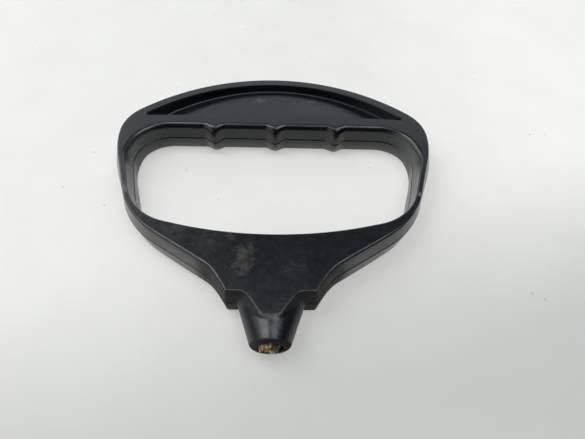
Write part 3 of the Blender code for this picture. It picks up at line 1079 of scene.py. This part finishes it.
def hand_over(tree, geometry, material):
    """Ends the tree: all instances made real, shaded smooth and given their material."""
    real = put(tree, "GeometryNodeRealizeInstances", {"Geometry": geometry}).outputs[0]
    smooth = put(tree, "GeometryNodeSetShadeSmooth", {"Geometry": real}).outputs[0]
    feeds = {"Geometry": smooth, "Material": material}
    dressed = put(tree, "GeometryNodeSetMaterial", feeds).outputs[0]
    put(tree, "NodeGroupOutput", {"Geometry": dressed})


fibre_gold = (0.62, 0.37, 0.09)
fibre_cream = (0.88, 0.73, 0.44)
fibre_shade_brown = (0.09, 0.05, 0.018)
fibre_sheen = 0.25
yarn_turns = 900.0
yarn_slant = 9.0
yarn_shade = 0.55
yarn_relief_strength = 0.6
yarn_relief_depth = 0.0001
rope_gap_shade_scale = 420.0
rope_gap_shade_density = 0.88
rope_roughness = (0.62, 0.9)

rope_fibre, tree, surface = new_material("rope fibre")
place = put(tree, "ShaderNodeTexCoord").outputs["Object"]
shade = put(tree, "ShaderNodeAttribute", attribute_name="strand_shade").outputs["Fac"]
along = put(tree, "ShaderNodeAttribute", attribute_name="strand_run").outputs["Fac"]
around = put(tree, "ShaderNodeAttribute", attribute_name="strand_side").outputs["Fac"]
yarn = sums(tree, "ADD", times(tree, along, yarn_turns), times(tree, around, yarn_slant))
twist = sums(tree, "SINE", yarn)
# painted shade: dark brown patches where gaps between fibre clumps fall in shade, and brown in the
# valleys of the yarn's twist
fibre_gap_shade = ramp(tree, noise(tree, place, rope_gap_shade_scale, 3.0, 0.6), 0.44, 0.56)
colour = tint(tree, ramp(tree, shade, 0.40, 0.75), fibre_gold, fibre_cream)
colour = coated(tree, colour, fibre_shade_brown, ramp(tree, twist, 0.2, -1.0, 0.0, yarn_shade))
colour = coated(tree, colour, fibre_shade_brown, fibre_gap_shade, rope_gap_shade_density)
feeds = {"Strength": yarn_relief_strength, "Distance": yarn_relief_depth, "Height": twist}
bump = put(tree, "ShaderNodeBump", feeds)
tree.links.new(colour, surface.inputs["Base Color"])
tree.links.new(bump.outputs["Normal"], surface.inputs["Normal"])
tree.links.new(ramp(tree, fibre_gap_shade, 0.0, 1.0, *rope_roughness), surface.inputs["Roughness"])
surface.inputs["Sheen Weight"].default_value = fibre_sheen

# the braid: as many strands one way round as the other, each over and under those it crosses
braid_sizes = {
    "Strands each way": strand_count,
    "Rope radius": rope_radius,
    "Strand radius": strand_radius,
    "Weave depth": braid_depth,
    "Turn length": braid_turn,
    "Points per strand": strand_points,
    "Seed": braid_seed,
}
kinds = {int: "Int", float: "Float"}
tree, sockets = new_group(
    "braid along a path",
    "Path",
    {label: (kinds[type(value)], value) for label, value in braid_sizes.items()},
)
given = put(tree, "NodeGroupInput").outputs
feeds = {"Curve": given["Path"], "Count": given["Points per strand"]}
line = put(tree, "GeometryNodeResampleCurve", feeds).outputs[0]
feeds = {"Geometry": line, "Amount": times(tree, given["Strands each way"], 2.0)}
copies = put(tree, "GeometryNodeDuplicateElements", feeds, domain="SPLINE").outputs
number = copies["Duplicate Index"]
hand = times(tree, 2.0, sums(tree, "MODULO", number, 2.0))
hand = sums(tree, "SUBTRACT", 1.0, hand)
run = put(tree, "GeometryNodeSplineParameter").outputs["Length"]
wound = times(tree, sums(tree, "DIVIDE", run, given["Turn length"]), 2 * math.pi)
pair = sums(tree, "FLOOR", sums(tree, "DIVIDE", number, 2.0))
start = sums(tree, "DIVIDE", times(tree, pair, 2 * math.pi), given["Strands each way"])
angle = sums(tree, "ADD", start, times(tree, hand, wound))
crossing = sums(tree, "COSINE", times(tree, wound, given["Strands each way"]))
weave = times(tree, hand, crossing, given["Weave depth"])
reach = sums(tree, "SUBTRACT", given["Rope radius"], given["Strand radius"])
reach = sums(tree, "SUBTRACT", reach, given["Weave depth"])
size = put(tree, "GeometryNodeInputRadius").outputs[0]
reach = times(tree, sums(tree, "ADD", reach, weave), size)
normal = put(tree, "GeometryNodeInputNormal").outputs[0]
tangent = put(tree, "GeometryNodeInputTangent").outputs[0]
side = vector_sums(tree, "CROSS_PRODUCT", tangent, normal)
offset = vector_sums(
    tree,
    "ADD",
    scaled(tree, normal, times(tree, reach, sums(tree, "COSINE", angle))),
    scaled(tree, side, times(tree, reach, sums(tree, "SINE", angle))),
)
feeds = {"Geometry": copies["Geometry"], "Offset": offset}
strands = put(tree, "GeometryNodeSetPosition", feeds).outputs[0]
strands = noted(tree, strands, "strand_run", run, "POINT")
feeds = {2: 0.0, 3: 1.0, "ID": number, "Seed": given["Seed"]}
chance = put(tree, "FunctionNodeRandomValue", feeds, data_type="FLOAT").outputs[1]
strands = noted(tree, strands, "strand_shade", chance, "CURVE")
strands = tube(tree, strands, given["Strand radius"], strand_sides, "strand_side")
hand_over(tree, strands, rope_fibre)
rope_meshes = [grown(rope, tree, sockets, braid_sizes)]
bpy.data.objects.remove(rope, do_unlink=True)

# the cut end: yarn ends and loose fibres that fill the sheath and stand a little out of it
core_inset = 0.0005
core_steps = 48
core_radius = rope_radius - core_inset
fibre_root = -0.6
fibre_shortest = 0.35
fibre_points = 5
fibre_sides = 5
fibre_droop = (0.5, 0.5, 0.72)
fibre_curl_scale = 900.0
fibre_curl = 1.6

disc = bmesh.new()
bmesh.ops.create_circle(disc, cap_ends=True, radius=core_radius, segments=core_steps)
disc_mesh = bpy.data.meshes.new("rope end")
disc.to_mesh(disc_mesh)
disc.free()
tuft_centre = lie + Vector((0.0, rope_end_inset - centre_y, half))
tuft_place = Matrix.Translation(tuft_centre) @ Matrix.Rotation(math.radians(90), 4, "X")
disc_mesh.transform(tuft_place)
tufts = bpy.data.objects.new("rope end", disc_mesh)
bpy.context.scene.collection.objects.link(tufts)

# one row for each growth: how many, how long, how thick, their lean and splay, and its seed
fibre_growths = (
    (64, 0.0012, 0.00038, 0.25, 0.30, 11),
    (260, 0.0013, 0.00007, 0.50, 0.55, 12),
)
tree, sockets = new_group(
    "cut fibres on a face",
    "Face",
    {
        "Fibres": ("Int", 300),
        "Length": ("Float", 0.001),
        "Thickness": ("Float", 0.0001),
        "Lean": ("Float", 0.4),
        "Splay": ("Float", 0.5),
        "Centre": ("Vector", (0.0, 0.0, 0.0)),
        "Seed": ("Int", 5),
    },
)
given = put(tree, "NodeGroupInput").outputs
density = sums(tree, "DIVIDE", given["Fibres"], math.pi * core_radius**2)
feeds = {"Mesh": given["Face"], "Density": density, "Seed": given["Seed"]}
roots = put(tree, "GeometryNodeDistributePointsOnFaces", feeds).outputs["Points"]
feeds = {"Start": (0.0, 0.0, fibre_root), "End": (0.0, 0.0, 1.0)}
one = put(tree, "GeometryNodeCurvePrimitiveLine", feeds).outputs[0]
one = put(tree, "GeometryNodeResampleCurve", {"Curve": one, "Count": fibre_points}).outputs[0]
feeds = {0: (-1.0, -1.0, -1.0), 1: (1.0, 1.0, 1.0), "Seed": given["Seed"]}
tilt = put(tree, "FunctionNodeRandomValue", feeds, data_type="FLOAT_VECTOR").outputs[0]
feeds = {2: fibre_shortest, 3: 1.0, "Seed": given["Seed"]}
tall = put(tree, "FunctionNodeRandomValue", feeds, data_type="FLOAT").outputs[1]
position = put(tree, "GeometryNodeInputPosition").outputs[0]
splay = vector_sums(tree, "SUBTRACT", position, given["Centre"])
splay = scaled(tree, splay, sums(tree, "DIVIDE", given["Splay"], rope_radius))
lean = vector_sums(tree, "ADD", scaled(tree, tilt, given["Lean"]), splay)
feeds = {"Vector": vector_sums(tree, "ADD", (0.0, -1.0, 0.0), lean)}
turned = put(tree, "FunctionNodeAlignRotationToVector", feeds, axis="Z").outputs[0]
feeds = {0: 1.0, 1: 1.0, 2: times(tree, given["Length"], tall)}
stretch = put(tree, "ShaderNodeCombineXYZ", feeds).outputs[0]
feeds = {"Points": roots, "Instance": one, "Rotation": turned, "Scale": stretch}
placed = put(tree, "GeometryNodeInstanceOnPoints", feeds).outputs[0]
feeds = {"Seed": given["Seed"]}
chance = put(tree, "FunctionNodeRandomValue", feeds, data_type="FLOAT").outputs[1]
placed = noted(tree, placed, "strand_shade", chance, "INSTANCE")
loose = put(tree, "GeometryNodeRealizeInstances", {"Geometry": placed}).outputs[0]
far = put(tree, "GeometryNodeSplineParameter").outputs["Factor"]
feeds = {"Vector": position, "Scale": fibre_curl_scale, "Detail": 1.0}
curl = put(tree, "ShaderNodeTexNoise", feeds).outputs["Color"]
curl = vector_sums(tree, "SUBTRACT", curl, fibre_droop)
curl = scaled(tree, curl, times(tree, far, far, given["Length"]))
feeds = {"Geometry": loose, "Offset": scaled(tree, curl, fibre_curl)}
bent = put(tree, "GeometryNodeSetPosition", feeds).outputs[0]
thin = put(tree, "GeometryNodeSetCurveRadius", {"Curve": bent, "Radius": 1.0}).outputs[0]
hand_over(tree, tube(tree, thin, given["Thickness"], fibre_sides), rope_fibre)
for growth in fibre_growths:
    values = (*growth[:-1], tuft_centre, growth[-1])
    rope_meshes.append(grown(tufts, tree, sockets, dict(zip(sockets, values))))
bpy.data.objects.remove(tufts, do_unlink=True)

made = bmesh.new()
for mesh in rope_meshes:
    made.from_mesh(mesh)
rope_mesh = bpy.data.meshes.new("starter_rope")
made.to_mesh(rope_mesh)
made.free()
rope_mesh.materials.clear()
rope_mesh.materials.append(rope_fibre)
rope_mesh.shade_smooth()
starter_rope = bpy.data.objects.new("starter_rope", rope_mesh)
bpy.context.scene.collection.objects.link(starter_rope)
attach(starter_rope, "root")
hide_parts("rope_stub")

# Painted surface under the handle
# A flat board with a matt white coat of paint that has a few specks in it. Its paint is graded as
# painted light and shade: lighter to the right, darker towards the front.
floor_size = 4.0
floor_paint = (0.82, 0.82, 0.79)
floor_right_light_paint = (0.97, 0.965, 0.92)
floor_front_shade_paint = (0.58, 0.585, 0.56)
floor_speck = (0.30, 0.28, 0.26)
floor_right_light = (0.0, 0.16)
floor_front_shade = (0.0, 0.10)
floor_slant = 0.30
floor_speck_scale = 260.0
floor_speck_density = 0.7
floor_mottle = 0.05
floor_mottle_scale = 35.0
floor_grain_scale = 600.0
floor_grain_strength = 0.15
floor_grain_depth = 0.0002
floor_roughness = 0.55
floor_pale = 0.5
floor_white = 1.09

floor_mesh = bpy.data.meshes.new("painted_board")
reach = floor_size / 2
corners = [(-reach, -reach, 0.0), (reach, -reach, 0.0), (reach, reach, 0.0), (-reach, reach, 0.0)]
floor_mesh.from_pydata(corners, [], [(0, 1, 2, 3)])
floor = bpy.data.objects.new("painted_board", floor_mesh)
bpy.context.scene.collection.objects.link(floor)
board_paint, tree, surface = new_material("white board paint")
place = put(tree, "ShaderNodeTexCoord").outputs["Object"]
across = put(tree, "ShaderNodeSeparateXYZ", {0: place}).outputs
slant = sums(tree, "SUBTRACT", times(tree, across["X"], floor_slant), across["Y"])
# painted light to the right and painted shade towards the front
colour = tint(tree, ramp(tree, across["X"], *floor_right_light), floor_paint, floor_right_light_paint)
colour = tint(tree, ramp(tree, slant, *floor_front_shade), colour, floor_front_shade_paint)
mottle = noise(tree, place, floor_mottle_scale, 4.0, 0.55)
mottle = ramp(tree, mottle, 0.3, 0.75, 0.0, floor_mottle)
colour = tint(tree, mottle, colour, floor_speck)
dots = specks(tree, place, floor_speck_scale, rarity=(0.955, 0.975), size=(0.13, 0.06))
colour = coated(tree, colour, floor_speck, dots, floor_speck_density)
grain = noise(tree, place, floor_grain_scale, 3.0)
feeds = {"Strength": floor_grain_strength, "Distance": floor_grain_depth, "Height": grain}
bump = put(tree, "ShaderNodeBump", feeds)
tree.links.new(colour, surface.inputs["Base Color"])
tree.links.new(bump.outputs["Normal"], surface.inputs["Normal"])
surface.inputs["Roughness"].default_value = floor_roughness
seen = put(tree, "ShaderNodeLightPath").outputs
seen = sums(tree, "MAXIMUM", seen["Is Camera Ray"], seen["Is Glossy Ray"])
glow = put(tree, "ShaderNodeEmission", {"Color": colour, "Strength": floor_white})
feeds = {0: times(tree, seen, floor_pale), 1: surface.outputs[0], 2: glow.outputs[0]}
lit = put(tree, "ShaderNodeMixShader", feeds)
tree.links.new(lit.outputs[0], tree.nodes["Material Output"].inputs["Surface"])
floor_mesh.materials.append(board_paint)

# Light
# Soft daylight in a dim room: a pale ceiling overhead, brighter to the right, a pale wall far
# behind the handle, a soft fill from the left and two small soft boxes on the left.
room_dim = (0.012, 0.013, 0.015)
room_far = (0.93, 1.00, 1.06)
room_high = (0.15, 0.16, 0.175)
room_ceiling = (1.12, 1.20, 1.28)
room_window = (3.95, 4.15, 4.35)
room_side = (0.93, 0.94, 0.93)
room_backdrop = (0.86, 0.87, 0.85)
# each band of light leans back from straight up by its two limits in degrees, and reaches
# from left to right by two limits with a softness
far_lean = (43.2, 100.0)
high_lean = (18.0, 30.0)
ceiling_lean = (-18.0, 18.0)
room_width = (-0.5, 0.5, 0.1)
ceiling_width = (-0.17, 0.5, 0.07)
window_width = (0.17, 0.5, 0.07)
side_width = (-0.40, -0.60)
band_softness = 2.0
lamps = (
    ("left_softbox", (-0.28, 0.10, 0.60), 0.30, 1.45),
    ("far_softbox", (-0.55, 0.35, 0.45), 0.50, 1.70),
)

world = bpy.data.worlds.new("room")
bpy.context.scene.world = world
world.use_nodes = True
tree = world.node_tree
way = put(tree, "ShaderNodeTexCoord").outputs["Generated"]
way = put(tree, "ShaderNodeSeparateXYZ", {0: way}).outputs
lean = sums(tree, "ARCTAN2", way["Y"], way["Z"])
soft = math.radians(band_softness)
sky = room_dim
for leaning, width, light in (
    (far_lean, room_width, room_far),
    (high_lean, room_width, room_high),
    (ceiling_lean, ceiling_width, room_ceiling),
    (ceiling_lean, window_width, room_window),
):
    band = between(tree, lean, *[math.radians(limit) for limit in leaning], soft)
    sky = coated(tree, sky, light, band, between(tree, way["X"], *width))
side = times(tree, ramp(tree, way["X"], *side_width), ramp(tree, lean, soft, -soft))
sky = tint(tree, side, sky, room_side)
sky = tint(tree, put(tree, "ShaderNodeLightPath").outputs["Is Camera Ray"], sky, room_backdrop)
tree.links.new(sky, tree.nodes["Background"].inputs["Color"])
tree.nodes["Background"].inputs["Strength"].default_value = 1.0

for name, spot, size, power in lamps:
    lamp = bpy.data.objects.new(name, bpy.data.lights.new(name, "AREA"))
    bpy.context.scene.collection.objects.link(lamp)
    lamp.data.size = size
    lamp.data.energy = power
    lamp.location = spot
    lamp.rotation_euler = (-lamp.location).to_track_quat("-Z", "Y").to_euler()
